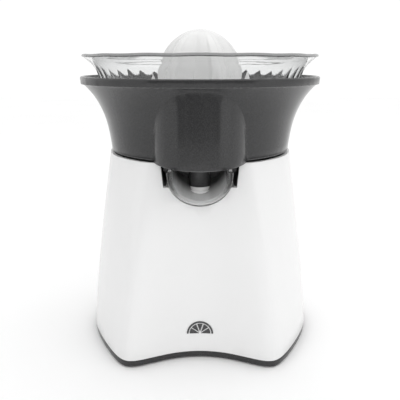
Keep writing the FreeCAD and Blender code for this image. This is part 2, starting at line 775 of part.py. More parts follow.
def make_spout():
    """A clear half-pipe with a rolled front lip and a closed back, hinged near its back."""
    front = V(0, N["spout_lip"] - N["spout_front"], N["spout_front_z"])
    back = V(0, -N["spout_back"], N["spout_back_z"])
    along = front - back
    length = along.Length
    along.normalize()
    radius, wall, lip_radius = N["spout_radius"], N["spout_wall"], N["spout_lip"]
    pipe = Part.makeCylinder(radius, length, back, along)
    hollow = Part.makeCylinder(radius - wall, length, back + along * wall, along)
    lip = Part.makeTorus(radius - wall / 2, lip_radius, front, along)
    blank = pipe.cut(hollow).fuse(lip)
    edge_back = V(0, -N["spout_back"], N["spout_edge_back"])
    edge_front = V(0, -N["spout_front"], N["spout_edge_front"])
    edge = edge_front - edge_back
    lid = Part.makeBox(80, 80, 40, V(-40, -70, 0))
    lid.rotate(V(0, 0, 0), V(1, 0, 0), math.degrees(math.atan2(-edge.z, -edge.y)))
    lid.translate(edge_back)
    trough = solid(blank.cut(lid))
    bosses = []
    for side in (-1, 1):
        start = 20.0 if side > 0 else -23.4
        bosses.append(cylinder(3.6, 3.4, (start, -S["pivot_y"], S["pivot_z"]), "x"))
    holes = cylinder(S["pivot_radius"] + S["running_gap"], 60.0, (-30.0, -S["pivot_y"], S["pivot_z"]), "x")
    node(cut(fuse(trough, *bosses), holes), "drip_spout")
    top = S["outlet_bottom"] - 0.3
    at_y = -S["outlet_y"]
    stem = cylinder(S["outlet_radius"] - 0.7, 6.0, (0, at_y, top - 6.0))
    flange = cylinder(S["outlet_radius"] + 1.0, 3.6, (0, at_y, top - 6.0))
    notches = [box((x - 1.3, x + 1.3), (at_y - 9.4, at_y - 5.4), (top - 1.9, top - 1.1)) for x in (-4.5, 4.5)]
    under = Part.makeCylinder(radius - wall, length + 4, back - along * 2, along)
    node(common(cut(fuse(stem, flange), *notches), solid(under)), "drip_plug")


# ---------------------------------------------------------------- strainer bowl and cones

BOWL_LINE = ((64.0, 186.0), (69.0, 189.5), (73.2, 196.5), (76.6, 205.0), (79.9, 213.9),
             (83.2, 219.3), (87.0, 223.3), (91.0, 226.3))


def bowl_shell():
    wall = N["bowl_wall"]
    outer = BOWL_LINE
    inner = offset(outer, wall)
    inner[0] = (outer[0][0], outer[0][1] + wall)
    rim = (N["bowl_rim_radius"], N["bowl_rim_top"] - 0.2)
    crown = (N["bowl_rim_radius"] - 0.6, N["bowl_rim_top"])
    edges = [profile_edge(outer), profile_edge(inner)]
    edges.append(line(outer[-1], rim))
    edges.append(line(rim, crown))
    edges.append(line(crown, inner[-1]))
    hub_in, hub_out = N["chimney_radius"] + 2.4, N["chimney_radius"] + 4.2
    web_low, web_high, bore = 193.0, 195.0, 7.05
    outline = [outer[0], (hub_out, outer[0][1]), (hub_out, 183.5), (hub_in, 183.5), (hub_in, web_low),
               (bore, web_low), (bore, web_high), (hub_out, web_high), (hub_out, inner[0][1]), inner[0]]
    edges += [line(a, b) for a, b in zip(outline, outline[1:])]
    return revolve(edges)


def make_strainer():
    """The clear strainer bowl: a flared wall, a slotted floor and a hub for the cone's drive."""
    bowl = solid(bowl_shell())
    slots = []
    count = 32
    for k in range(count):
        length = 22.0 if k % 2 else 14.0
        slot = Part.makeBox(length, 1.8, 6.0, V(58.0 - length, -0.9, 184.0))
        slot.rotate(V(0, 0, 0), UP, FULL_TURN * k / count)
        slots.append(slot)
    node(cut(bowl, solid(Part.makeCompound(slots))), "strainer_bowl")


def make_coupling():
    """The splined sleeve, held in the strainer's hub, that passes the drive to the cone."""
    flange = cylinder(9.5, 2.4, (0, 0, 190.3))
    neck = cylinder(7.0, 3.2, (0, 0, 192.5))
    head = prism(6, 12.0, 8.1, (0, 0, 195.4))
    bore = prism(6, 6.5, 20.0, (0, 0, 188.0))
    node(cut(fuse(flange, neck, head), bore), "cone_coupling")


FINS = 6
CONE_TURN = 22.0
CONE_LINE = ((41.5, 192.5), (39.6, 200.0), (36.4, 209.8), (33.2, 219.0), (30.4, 225.8), (27.4, 231.2),
             (23.0, 236.6), (17.0, 241.4), (10.5, 244.8), (4.5, 246.4))
SMALL_CONE_LINE = ((31.5, 193.5), (29.5, 200.0), (26.0, 210.0), (21.2, 219.0), (14.5, 227.0), (6.5, 232.6))


def fluted(line_points, depth, tip):
    """A cone whose section is a star of concave flutes between sharp fins."""
    wires = []
    for radius, height in line_points:
        valley = radius * (1 - depth)
        step = 2 * math.pi / FINS
        arcs = []
        for k in range(FINS):
            ends = [V(radius * math.cos(a), radius * math.sin(a), height)
                    for a in (step * (k - 0.5), step * (k + 0.5))]
            middle = V(valley * math.cos(step * k), valley * math.sin(step * k), height)
            arcs.append(Part.Arc(ends[0], middle, ends[1]).toShape())
        wires.append(Part.Wire(arcs))
    body = Part.makeLoft(wires, True, False)
    low_radius, low = line_points[-1]
    cap_radius = low_radius * (1 - depth)
    cap = Part.makeCone(cap_radius, cap_radius * 0.55, tip - low, V(0, 0, low))
    return body.fuse(cap)


def dome(points, top):
    """A round core with straight flanks, for hollowing a cone."""
    outline = [(0, points[0][1])] + list(points) + [(0, top)]
    closed = outline + outline[:1]
    return revolve([line(a, b) for a, b in zip(closed, closed[1:])])


def make_cones():
    large = fluted(CONE_LINE, 0.18, N["cone_top"])
    large.rotate(V(0, 0, 0), UP, CONE_TURN)
    brim = Part.makeCylinder(N["cone_radius"] + 1.5, 2.2, V(0, 0, N["cone_bottom"]))
    hollow = dome(((33.2, 191.0), (28.4, 210.0), (23.2, 226.0), (12.0, 237.0)), 240.0)
    seat = cylinder(3.0, 6.0, (0, 0, S["small_cone_top"] + 0.3))
    node(fuse(cut(fuse(solid(large), solid(brim)), solid(hollow)), seat), "large_cone")
    small = fluted(SMALL_CONE_LINE, 0.15, N["small_cone_top"])
    inner = dome(((25.5, 192.0), (22.0, 206.0), (20.0, 208.5)), 208.5)
    hub = cylinder(10.0, 11.0, (0, 0, 198.5))
    socket = prism(6, 12.5, 8.5, (0, 0, 198.0))
    node(cut(fuse(cut(solid(small), solid(inner)), hub), socket), "small_cone")


# ---------------------------------------------------------------- build, check and write

BUILDERS = (make_housing, make_base, make_badge, make_gland, make_deck, make_bush_and_seal, make_gear_case,
            make_gears, make_motor, make_spindle, make_thrust_cup, make_return_spring, make_switch,
            make_collector, make_spout, make_strainer, make_coupling, make_cones)


def check_and_write():
    os.makedirs("parts", exist_ok=True)
    doc.recompute()
    faults = [o.Name for o in doc.Objects if "Invalid" in o.State or "Error" in o.State]
    for item in nodes:
        if item.Shape.isNull() or not item.Shape.isValid() or not item.Shape.Solids:
            faults.append(item.Label)
    if faults:
        raise RuntimeError("these did not build: " + ", ".join(faults))
    whole = FreeCAD.BoundBox()
    for item in nodes:
        whole.add(item.Shape.BoundBox)
        item.Shape.exportStep(os.path.join("parts", item.Label + ".step"))
        print("%-18s %2d solids %10.1f mm3" % (item.Label, len(item.Shape.Solids), item.Shape.Volume))
    print("whole object:", whole)


for build in BUILDERS:
    build()
check_and_write()
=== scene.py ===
import json
import math

import bmesh
import bpy
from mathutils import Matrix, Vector


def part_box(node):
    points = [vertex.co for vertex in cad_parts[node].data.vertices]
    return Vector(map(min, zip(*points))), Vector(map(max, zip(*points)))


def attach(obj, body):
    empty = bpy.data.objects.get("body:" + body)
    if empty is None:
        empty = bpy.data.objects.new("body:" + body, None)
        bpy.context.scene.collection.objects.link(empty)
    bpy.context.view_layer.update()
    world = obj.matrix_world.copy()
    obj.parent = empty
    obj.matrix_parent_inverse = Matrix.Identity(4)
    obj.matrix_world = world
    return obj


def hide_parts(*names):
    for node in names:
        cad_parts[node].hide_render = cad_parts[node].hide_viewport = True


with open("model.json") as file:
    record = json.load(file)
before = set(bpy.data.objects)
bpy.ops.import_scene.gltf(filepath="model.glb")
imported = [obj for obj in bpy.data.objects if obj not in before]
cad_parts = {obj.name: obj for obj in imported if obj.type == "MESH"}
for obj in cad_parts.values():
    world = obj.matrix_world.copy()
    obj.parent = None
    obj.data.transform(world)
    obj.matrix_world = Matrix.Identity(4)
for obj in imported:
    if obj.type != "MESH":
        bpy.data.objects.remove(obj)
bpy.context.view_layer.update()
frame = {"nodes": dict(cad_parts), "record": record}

# Looks of the electric citrus press, in metres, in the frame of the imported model: +Z up, the
# juice spout faces -Y, the feet stand at z = 0. Profiles and their constants are in millimetres.

MM = 0.001
TAU = 2 * math.pi
UP = Vector((0, 0, 1))


# ---------------------------------------------------------------- camera, light and floor

CAMERA_HEIGHT = 0.222
CAMERA_DISTANCE = 0.42
CAMERA_TILT = 15.0
CAMERA_LENS = 46.35
SENSOR_WIDTH = 36.0
CLIP_START = 0.01

SURROUND_GLOW = 1.04
BANK_RIGHT = {"at": (0.80, -0.50, 0.40), "target": (0, 0, 0.12), "size": (0.5, 0.9), "power": 0.3}
BANK_TOP = {"at": (0.0, 0.1, 1.1), "target": (0, 0, 0.1), "size": (1.0, 1.0), "power": 2.0}

GAP_RADIUS = 1.1
GAP_LOW, GAP_HIGH = -0.2, 1.3
GAP_FROM, GAP_TO = -0.885, 0.80
GAP_CELLS = 6
STREAKS = ((-0.53, 0.030), (0.23, 0.022), (0.43, 0.034))

FLAG_RADIUS = 1.6
FLAG_LOW, FLAG_HIGH = 0.28, 1.2
FLAG_FROM, FLAG_TO = -2.05, -1.05
FLAG_CELLS = 12

FLOOR_HALF = 3.0


def make_camera():
    data = bpy.data.cameras.new("camera")
    data.lens = CAMERA_LENS
    data.sensor_width = SENSOR_WIDTH
    data.clip_start = CLIP_START
    camera = bpy.data.objects.new("camera", data)
    camera.location = (0.0, -CAMERA_DISTANCE, CAMERA_HEIGHT)
    camera.rotation_euler = (math.radians(90.0 - CAMERA_TILT), 0.0, 0.0)
    bpy.context.collection.objects.link(camera)
    bpy.context.scene.camera = camera


def area_light(name, at, target, size, power):
    data = bpy.data.lights.new(name, "AREA")
    data.shape = "RECTANGLE"
    data.size, data.size_y = size
    data.energy = power
    light = bpy.data.objects.new(name, data)
    light.location = at
    aim = Vector(target) - Vector(at)
    light.rotation_euler = aim.to_track_quat("-Z", "Y").to_euler()
    bpy.context.collection.objects.link(light)


def make_studio():
    """An even pale surround, a weak key light and one overhead bank."""
    area_light("bank_right", **BANK_RIGHT)
    area_light("bank_top", **BANK_TOP)
    world = bpy.data.worlds.new("surround")
    bpy.context.scene.world = world
    world.use_nodes = True
    backdrop = world.node_tree.nodes["Background"]
    backdrop.inputs["Color"].default_value = (1, 1, 1, 1)
    backdrop.inputs["Strength"].default_value = SURROUND_GLOW
    bpy.context.scene.view_settings.view_transform = "Standard"


def arc_cells(first, last, count, finish):
    """An arc cut into equal cells, each (first turn, last turn, number of its finish)."""
    step = (last - first) / count
    return [(first + step * k, first + step * (k + 1), finish) for k in range(count)]


def studio_board(name, radius, low, high, cells, finishes):
    """An upright board around the origin, unseen itself. Turns run in radians from -Y to +X."""
    verts, faces = [], []
    for first, last, _ in cells:
        start = len(verts)
        for turn, height in ((first, low), (last, low), (last, high), (first, high)):
            verts.append((radius * math.sin(turn), -radius * math.cos(turn), height))
        faces.append(tuple(range(start, start + 4)))
    mesh = bpy.data.meshes.new(name)
    mesh.from_pydata(verts, [], faces)
    for finish in finishes:
        mesh.materials.append(finish)
    mesh.polygons.foreach_set("material_index", [cell[2] for cell in cells])
    board = bpy.data.objects.new(name, mesh)
    bpy.context.collection.objects.link(board)
    board.visible_camera = False
    board.visible_transmission = False
    return board


def make_gap():
    """The unlit gap between the studio's front banks, which only gloss shows."""
    cuts = [GAP_FROM]
    for middle, half in STREAKS:
        cuts += [middle - half, middle + half]
    cuts.append(GAP_TO)
    cells = []
    for band, (first, last) in enumerate(zip(cuts, cuts[1:])):
        cells += arc_cells(first, last, GAP_CELLS, band % 2)
    finishes = [matt("gap_dark", 0.05, 0.08), matt("gap_streak", 0.26, 0.32)]
    gap = studio_board("studio_gap", GAP_RADIUS, GAP_LOW, GAP_HIGH, cells, finishes)
    gap.visible_diffuse = False
    gap.visible_shadow = False


def make_flag():
    """A grey board on the left that keeps light off the left flank, and shows in no gloss."""
    cells = arc_cells(FLAG_FROM, FLAG_TO, FLAG_CELLS, 0)
    finishes = [matt("flag_grey", 0.28, 0.32)]
    flag = studio_board("studio_flag", FLAG_RADIUS, FLAG_LOW, FLAG_HIGH, cells, finishes)
    flag.visible_glossy = False


def make_floor():
    half = FLOOR_HALF
    mesh = bpy.data.meshes.new("floor")
    corners = [(-half, -half, 0), (half, -half, 0), (half, half, 0), (-half, half, 0)]
    mesh.from_pydata(corners, [], [(0, 1, 2, 3)])
    floor = bpy.data.objects.new("floor", mesh)
    bpy.context.collection.objects.link(floor)
    mesh.materials.append(floor_material())


# ---------------------------------------------------------------- materials


def grey(level):
    return (level, level, level)


def scaled(colour, factor):
    return tuple(min(1.0, c * factor) for c in colour)


class Shader:
    """A node material under construction, with the few node set-ups that the finishes share."""

    def __init__(self, name):
        self.material = bpy.data.materials.new(name)
        self.material.use_nodes = True
        self.nodes = self.material.node_tree.nodes
        self.links = self.material.node_tree.links
        self.surface = self.nodes["Principled BSDF"]
        self.coords = self.nodes.new("ShaderNodeTexCoord").outputs["Object"]

    def value(self, socket, number):
        self.surface.inputs[socket].default_value = number

    def feed(self, socket, output):
        self.links.new(output, self.surface.inputs[socket])

    def axis(self, name):
        parts = self.nodes.new("ShaderNodeSeparateXYZ")
        self.links.new(self.coords, parts.inputs["Vector"])
        return parts.outputs[name]

    def noise(self, scale, detail=2.0, stretch=None):
        texture = self.nodes.new("ShaderNodeTexNoise")
        texture.inputs["Scale"].default_value = scale
        texture.inputs["Detail"].default_value = detail
        place = self.coords
        if stretch:
            mapping = self.nodes.new("ShaderNodeMapping")
            mapping.inputs["Scale"].default_value = stretch
            self.links.new(self.coords, mapping.inputs["Vector"])
            place = mapping.outputs["Vector"]
        self.links.new(place, texture.inputs["Vector"])
        return texture.outputs["Fac"]

    def spread(self, source, low, high, start=0.3, end=0.7):
        """Maps a source that runs from start to end to values from low to high."""
        node = self.nodes.new("ShaderNodeMapRange")
        node.inputs["From Min"].default_value = start
        node.inputs["From Max"].default_value = end
        node.inputs["To Min"].default_value = low
        node.inputs["To Max"].default_value = high
        self.links.new(source, node.inputs["Value"])
        return node.outputs["Result"]

    def ramp(self, source, *stops):
        """Maps a 0-1 pattern to colours, placed by (position, colour) stops in rising order."""
        node = self.nodes.new("ShaderNodeValToRGB")
        elements = node.color_ramp.elements
        for index, (position, colour) in enumerate(stops):
            if index == len(elements):
                elements.new(position)
            elements[index].position = position
            elements[index].color = (*colour, 1)
        self.links.new(source, node.inputs["Fac"])
        return node.outputs["Color"]

    def two_tone(self, source, first, second, start=0.35, end=0.65):
        return self.ramp(source, (start, first), (end, second))

    def worn_edges(self, colour, edge_colour, start, end):
        """Lightens a colour where the surface is sharply convex."""
        geometry = self.nodes.new("ShaderNodeNewGeometry")
        mask = self.spread(geometry.outputs["Pointiness"], 0.0, 1.0, start, end)
        mix = self.nodes.new("ShaderNodeMixRGB")
        mix.inputs["Color2"].default_value = (*edge_colour, 1)
        self.links.new(mask, mix.inputs["Fac"])
        self.links.new(colour, mix.inputs["Color1"])
        return mix.outputs["Color"]

    def bump(self, source, distance, strength=1.0, below=None):
        node = self.nodes.new("ShaderNodeBump")
        node.inputs["Distance"].default_value = distance
        node.inputs["Strength"].default_value = strength
        self.links.new(source, node.inputs["Height"])
        if below:
            self.links.new(below, node.inputs["Normal"])
        return node.outputs["Normal"]


POLISHED, DULLED = -0.04, 0.05
CONE_FOOT, CONE_CROWN = 196.0, 246.0
# Painted light: the cone is paler at its foot than at its crown, to make up for the shade that the
# dark collector and the bowl cast on its foot.
CONE_FOOT_LIT_TONE, CONE_CROWN_TONE = (0.97, 0.97, 0.965), (0.74, 0.74, 0.735)
LIP_START, LIP_END = 86.6, 85.0
TROUGH_BACK = 58.0
TROUGH_FLOOR = (0.14, 0.50)
LIP_CLARITY, MILKY_CLARITY = 0.97, 0.40
# Painted shade: the dark tint at the spout's lip and at the back of the trough under the hood.
LIP_SHADE, MILKY_TINT, TROUGH_BACK_SHADE = grey(0.12), (0.94, 0.945, 0.945), grey(0.22)


def moulded(name, colour, rough, grain_scale, grain_depth, tone=0.03, edge=1.15, foot=None):
    """Injection-moulded plastic: faint flow tone, sparked grain, uneven gloss, rubbed edges.

    With a foot colour, the tone runs from it up to the colour instead, over the cone's height:
    painted light, paler at the foot to make up for the shade that the dark collector casts there.
    """
    shader = Shader(name)
    if foot:
        height = shader.spread(shader.axis("Z"), 0.0, 1.0, CONE_FOOT * MM, CONE_CROWN * MM)
        base = shader.two_tone(height, foot, colour, 0.0, 1.0)
    else:
        flow = shader.noise(scale=14.0, detail=3.0)
        base = shader.two_tone(flow, scaled(colour, 1 - tone), scaled(colour, 1 + tone), 0.2, 0.8)
    worn = shader.worn_edges(base, scaled(colour, edge), start=0.62, end=0.72)
    shader.feed("Base Color", worn)
    patches = shader.noise(scale=45.0, detail=4.0)
    shader.feed("Roughness", shader.spread(patches, rough + POLISHED, rough + DULLED, 0.1, 0.9))
    waves = shader.bump(shader.noise(scale=120.0, detail=1.0), distance=0.00003, strength=0.4)
    grain = shader.noise(grain_scale, detail=2.0)
    shader.feed("Normal", shader.bump(grain, grain_depth, strength=0.7, below=waves))
    shader.value("IOR", 1.5)
    return shader.material


def speckled(name, colour, rough=0.17):
    """Dark satin plastic with a fine pale fleck in it."""
    shader = Shader(name)
    flecks = shader.noise(scale=1900.0, detail=2.0)
    base = shader.two_tone(flecks, scaled(colour, 0.80), scaled(colour, 1.30), 0.40, 0.66)
    shader.feed("Base Color", base)
    patches = shader.noise(scale=30.0, detail=4.0)
    shader.feed("Roughness", shader.spread(patches, rough + POLISHED, rough + DULLED))
    waves = shader.bump(shader.noise(scale=90.0, detail=1.0), distance=0.00003, strength=0.3)
    grain = shader.noise(scale=1500.0, detail=3.0)
    shader.feed("Normal", shader.bump(grain, distance=0.000004, strength=0.6, below=waves))
    shader.value("IOR", 1.42)
    return shader.material


def clear(name, tint, rough, clarity=1.0):
    """A clear moulded plastic's shader: faint flow ripples and fine wiping scratches.

    A clarity below one makes it cloudy.
    """
    shader = Shader(name)
    shader.value("Base Color", (*tint, 1))
    shader.value("Transmission Weight", clarity)
    shader.value("IOR", 1.46)
    scratches = shader.noise(scale=60.0, detail=6.0, stretch=(1.0, 1.0, 30.0))
    shader.feed("Roughness", shader.spread(scratches, rough, rough + DULLED, 0.45, 0.75))
    ripples = shader.bump(shader.noise(scale=70.0, detail=2.0), distance=0.00012, strength=0.35)
    scored = shader.bump(scratches, distance=0.00001, strength=0.4, below=ripples)
    shader.feed("Normal", scored)
    return shader


def spout_plastic():
    """Cloudy plastic with a polished front lip, its tint painted with shade: dark at the lip, pale
    over the trough floor, dark again at the back under the hood.
    """
    shader = clear("milky_plastic", MILKY_TINT, 0.08)
    along = shader.axis("Y")
    lip = shader.spread(along, LIP_CLARITY, MILKY_CLARITY, -LIP_START * MM, -LIP_END * MM)
    shader.feed("Transmission Weight", lip)
    inward = shader.spread(along, 0.0, 1.0, -LIP_START * MM, -TROUGH_BACK * MM)
    floor = [(place, MILKY_TINT) for place in TROUGH_FLOOR]
    # painted shade: dark at the lip and at the back of the trough
    tone = shader.ramp(inward, (0.0, LIP_SHADE), *floor, (1.0, TROUGH_BACK_SHADE))
    shader.feed("Base Color", tone)
    return shader.material


def metal(name, colour, rough, grain_rise):
    """Ground metal with a fine level grain and dull patches."""
    shader = Shader(name)
    grain = shader.noise(scale=400.0, detail=3.0, stretch=(1.0, 1.0, grain_rise))
    shader.feed("Base Color", shader.two_tone(grain, scaled(colour, 0.85), scaled(colour, 1.1)))
    shader.value("Metallic", 1.0)
    patches = shader.noise(scale=60.0, detail=4.0)
    shader.feed("Roughness", shader.spread(patches, rough - 0.06, rough + 0.1))
    shader.feed("Normal", shader.bump(grain, distance=0.00003, strength=0.5))
    return shader.material


def rubber_material():
    shader = Shader("soft_rubber")
    dust = shader.noise(scale=80.0, detail=6.0)
    shader.feed("Base Color", shader.two_tone(dust, grey(0.02), (0.05, 0.05, 0.048)))
    shader.feed("Roughness", shader.spread(dust, 0.7, 0.9))
    grain = shader.noise(scale=900.0, detail=3.0)
    shader.feed("Normal", shader.bump(grain, distance=0.00006, strength=0.6))
    return shader.material


def laminated(name, colour):
    """A stack of thin steel sheets, seen on edge as fine level lines."""
    shader = Shader(name)
    sheets = shader.noise(scale=25.0, detail=1.0, stretch=(0.2, 0.2, 60.0))
    shader.feed("Base Color", shader.two_tone(sheets, scaled(colour, 0.6), scaled(colour, 1.3)))
    shader.value("Metallic", 0.8)
    patches = shader.noise(scale=50.0, detail=3.0)
    shader.feed("Roughness", shader.spread(patches, 0.35, 0.6))
    shader.feed("Normal", shader.bump(sheets, distance=0.0001, strength=0.6))
    return shader.material


def wound(name):
    """Enamelled copper wire laid in turns across the coil."""
    shader = Shader(name)
    wave = shader.nodes.new("ShaderNodeTexWave")
    wave.bands_direction = "X"
    wave.inputs["Scale"].default_value = 600.0
    wave.inputs["Distortion"].default_value = 0.6
    shader.links.new(shader.coords, wave.inputs["Vector"])
    turns = wave.outputs["Fac"]
    tone = shader.two_tone(turns, (0.28, 0.09, 0.03), (0.75, 0.33, 0.14), 0.1, 0.9)
    shader.feed("Base Color", tone)
    shader.value("Metallic", 0.9)
    patches = shader.noise(scale=100.0, detail=2.0)
    shader.feed("Roughness", shader.spread(patches, 0.25, 0.4))
    shader.feed("Normal", shader.bump(turns, distance=0.0002, strength=0.8))
    return shader.material


def matt(name, low, high):
    """Matt studio board between two greys."""
    shader = Shader(name)
    shader.feed("Base Color", shader.two_tone(shader.noise(scale=2.0), grey(low), grey(high)))
    shader.value("Roughness", 1.0)
    shader.value("Specular IOR Level", 0.0)
    return shader.material


def floor_material():
    shader = Shader("studio_floor")
    tone = shader.noise(scale=3.0, detail=3.0)
    shader.feed("Base Color", shader.two_tone(tone, grey(0.955), grey(0.975)))
    shader.value("Roughness", 0.9)
    shader.value("Specular IOR Level", 0.1)
    return shader.material


def make_materials():
    fine, deep, coarse = 0.00002, 0.00004, 0.00008
    # plug: a paler white than the housing's, painted light that makes up for the shade of the hood
    # over the drip plug
    white, plug, nylon = grey(0.835), (0.97, 0.97, 0.965), (0.74, 0.73, 0.68)
    near_black, ferrite, ink = (0.012, 0.012, 0.013), (0.045, 0.045, 0.047), (0.050, 0.050, 0.052)
    return {
        "white_plastic": moulded("white_plastic", white, 0.24, 900.0, fine, 0.01, 1.04),
        "plug_lit_plastic": moulded("plug_lit_plastic", plug, 0.24, 900.0, fine, 0.01, 1.04),
        # painted light on the cone: paler at its foot than at its crown
        "cone_plastic": moulded("cone_plastic", CONE_CROWN_TONE, 0.24, 700.0, fine, edge=1.078,
                                foot=CONE_FOOT_LIT_TONE),
        "grey_plastic": speckled("grey_plastic", (0.036, 0.036, 0.037)),
        # a paler copy of the grey plastic for the rounded lips: painted highlight
        "lip_highlight_plastic": speckled("lip_highlight_plastic", (0.12, 0.12, 0.121)),
        "dark_plastic": moulded("dark_plastic", near_black, 0.45, 800.0, deep, 0.1, 1.5),
        "clear_plastic": clear("clear_plastic", (0.925, 0.93, 0.93), 0.03).material,
        "milky_plastic": spout_plastic(),
        # the clear rim tinted grey and cloudy: painted shade for the dark that its rolled edge
        # refracts
        "rim_shaded_plastic": clear("rim_shaded_plastic", (0.44, 0.445, 0.445), 0.16, clarity=0.35).material,
        "rubber": rubber_material(),
        "steel": metal("ground_steel", (0.62, 0.62, 0.61), 0.28, grain_rise=12.0),
        "bronze": metal("bush_bronze", (0.55, 0.36, 0.18), 0.4, grain_rise=8.0),
        "core_iron": laminated("core_iron", (0.22, 0.22, 0.23)),
        "copper": wound("copper_wire"),
        "nylon": moulded("natural_nylon", nylon, 0.42, 500.0, deep, 0.03, 1.08),
        "magnet": moulded("ferrite", ferrite, 0.55, 400.0, coarse, 0.1, 1.6),
        "badge": moulded("badge_ink", ink, 0.25, 600.0, fine, 0.05, 1.2),
    }


OWN_FINISH = {"drip_spout": "milky_plastic", "drip_plug": "plug_lit_plastic"}


def paint_nodes(materials):
    """Gives every CAD node the finish of its slot in the record, or its own finish."""
    for row in frame["record"]["subparts"]:
        finish = OWN_FINISH.get(row["node"], row["material_slot"])
        piece = frame["nodes"][row["node"]]
        piece.data.materials.clear()
        piece.data.materials.append(materials[finish])


SOFT_EDGES = (
    ("juice_collector", 0.45), ("drip_spout", 0.35), ("main_housing", 0.35), ("base_plate", 0.5),
    ("rubber_feet", 0.5), ("cord_gland", 0.5), ("motor_deck", 0.5), ("cone_coupling", 0.3),
    ("small_cone", 0.3), ("drip_plug", 0.3), ("spout_well", 0.3), ("thrust_cup", 0.3),
)
MERGE_DISTANCE = 0.002
EDGE_SEGMENTS = 2
SHARP_ANGLE = math.radians(32.0)


def soften_edges():
    """Rounds the sharp edges of the moulded pieces, as their tools leave them."""
    for node, width in SOFT_EDGES:
        piece = frame["nodes"][node]
        joined = piece.modifiers.new("joined", "WELD")
        joined.merge_threshold = MERGE_DISTANCE * MM
        rounded = piece.modifiers.new("rounded", "BEVEL")
        rounded.width = width * MM
        rounded.segments = EDGE_SEGMENTS
        rounded.limit_method = "ANGLE"
        rounded.angle_limit = SHARP_ANGLE
        rounded.harden_normals = True


# ---------------------------------------------------------------- mesh helpers


def add_piece(name, verts, faces, material, body, slot, *replaced):
    mesh = bpy.data.meshes.new(name)
    mesh.from_pydata(verts, [], faces)
    mesh.validate()
    edit = bmesh.new()
    edit.from_mesh(mesh)
    bmesh.ops.recalc_face_normals(edit, faces=edit.faces)
    edit.to_mesh(mesh)
    edit.free()
    mesh.polygons.foreach_set("use_smooth", [True] * len(mesh.polygons))
    mesh.materials.append(material)
    piece = bpy.data.objects.new(name, mesh)
    bpy.context.collection.objects.link(piece)
    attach(piece, body)
    if replaced:
        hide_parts(*replaced)
    return piece


def round_point(radius, angle, height):
    return (radius * math.cos(angle) * MM, radius * math.sin(angle) * MM, height * MM)


def circle(radius, height, steps):
    return [round_point(radius, TAU * k / steps, height) for k in range(steps)]


def rings(rows, loop):
    """Quads between closed rings of points, and back to the first ring when loop is set."""
    count = len(rows[0])
    verts = [p for row in rows for p in row]
    faces = []
    last = len(rows) if loop else len(rows) - 1
    for i in range(last):
        a, b = i * count, ((i + 1) % len(rows)) * count
        for k in range(count):
            n = (k + 1) % count
            faces.append((a + k, a + n, b + n, b + k))
    return verts, faces


def smooth_line(points, steps):
    """A Catmull-Rom curve through (radius, height) points."""
    result = []
    last = len(points) - 1
    for i in range(last):
        p0, p1, p2, p3 = (points[max(0, min(last, i + k))] for k in (-1, 0, 1, 2))
        for n in range(steps):
            t = n / steps
            result.append(tuple(
                0.5 * (2 * b + (c - a) * t + (2 * a - 5 * b + 4 * c - d) * t * t
                       + (3 * b - a - 3 * c + d) * t ** 3)
                for a, b, c, d in zip(p0, p1, p2, p3)))
    result.append(points[-1])
    return result


def offset_line(points, distance):
    """The line moved to its left by a distance."""
    moved = []
    last = len(points) - 1
    for i, (radius, height) in enumerate(points):
        before, after = points[max(i - 1, 0)], points[min(i + 1, last)]
        run, rise = after[0] - before[0], after[1] - before[1]
        span = math.hypot(run, rise)
        moved.append((radius - rise / span * distance, height + run / span * distance))
    return moved


def ease(x):
    x = max(0.0, min(1.0, x))
    return x * x * (3 - 2 * x)


def rise_over(height, start, run):
    """Eases from 0 to 1 as the height climbs from start over a run."""
    return ease((height - start) / run)


# ---------------------------------------------------------------- strainer bowl

BOWL_WALL = 1.8
BOWL_WALL_LINE = ((64.0, 186.2), (69.0, 189.5), (73.2, 196.5), (76.6, 205.0), (79.9, 213.9),
                  (83.2, 219.6), (87.0, 223.1), (90.5, 225.7))
BOWL_LINE_STEPS = 6
RIM_LINE = ((90.6, -1.9), (91.4, -1.6), (91.65, -1.0), (91.5, -0.4), (91.0, -0.1), (90.3, 0.0),
            (89.6, -0.3), (89.4, -1.0), (89.8, -1.6))
FLUTES = 48
BOWL_STEPS = FLUTES * 12
FLUTE_ROUNDNESS = 0.7
FLUTE_EVENNESS = 0.75
FLUTE_GROUPS = FLUTES / 4
FLUTE_SHIFT = 1.3
FLUTE_TOP, FLUTE_FADE = 222.0, 17.0
FLUTE_FOOT, FLUTE_FOOT_RUN = 186.0, 5.0
RIM_SIDES = 16
RIM_BEND_IN, RIM_BEND_DOWN = 0.30, 0.14
BEND_START, BEND_RUN = 219.0, 7.0

FLOOR_HEIGHT = 186.0
FLOOR_RINGS = (13.5, 24.0, 36.0, 44.0, 58.0, 64.3)
SHORT_SLOT_RING, LONG_SLOT_RING = 3, 2
SECTORS, SLOTS = 256, 32
HUB_LINE = ((13.5, 183.5), (13.5, 194.6), (13.1, 195.0), (7.45, 195.0), (7.1, 194.6), (7.1, 193.0),
            (11.7, 193.0), (11.7, 183.5))
HUB_STEPS = 96


def bowl_ring(radius, height, flute, wave):
    """One ring of the bowl: flute presses shallow upright hollows, wave bends the rim."""
    ring = []
    for k in range(BOWL_STEPS):
        angle = TAU * k / BOWL_STEPS
        hollow = abs(math.sin(FLUTES * angle / 2)) ** FLUTE_ROUNDNESS
        change = (1 - FLUTE_EVENNESS) * math.cos(FLUTE_GROUPS * angle + FLUTE_SHIFT)
        depth = flute * (FLUTE_EVENNESS + change)
        swing = 1 - math.cos(RIM_SIDES * angle)
        inward = depth * (1 - hollow) + wave * RIM_BEND_IN * swing
        ring.append(round_point(radius - inward, angle, height - wave * RIM_BEND_DOWN * swing))
    return ring


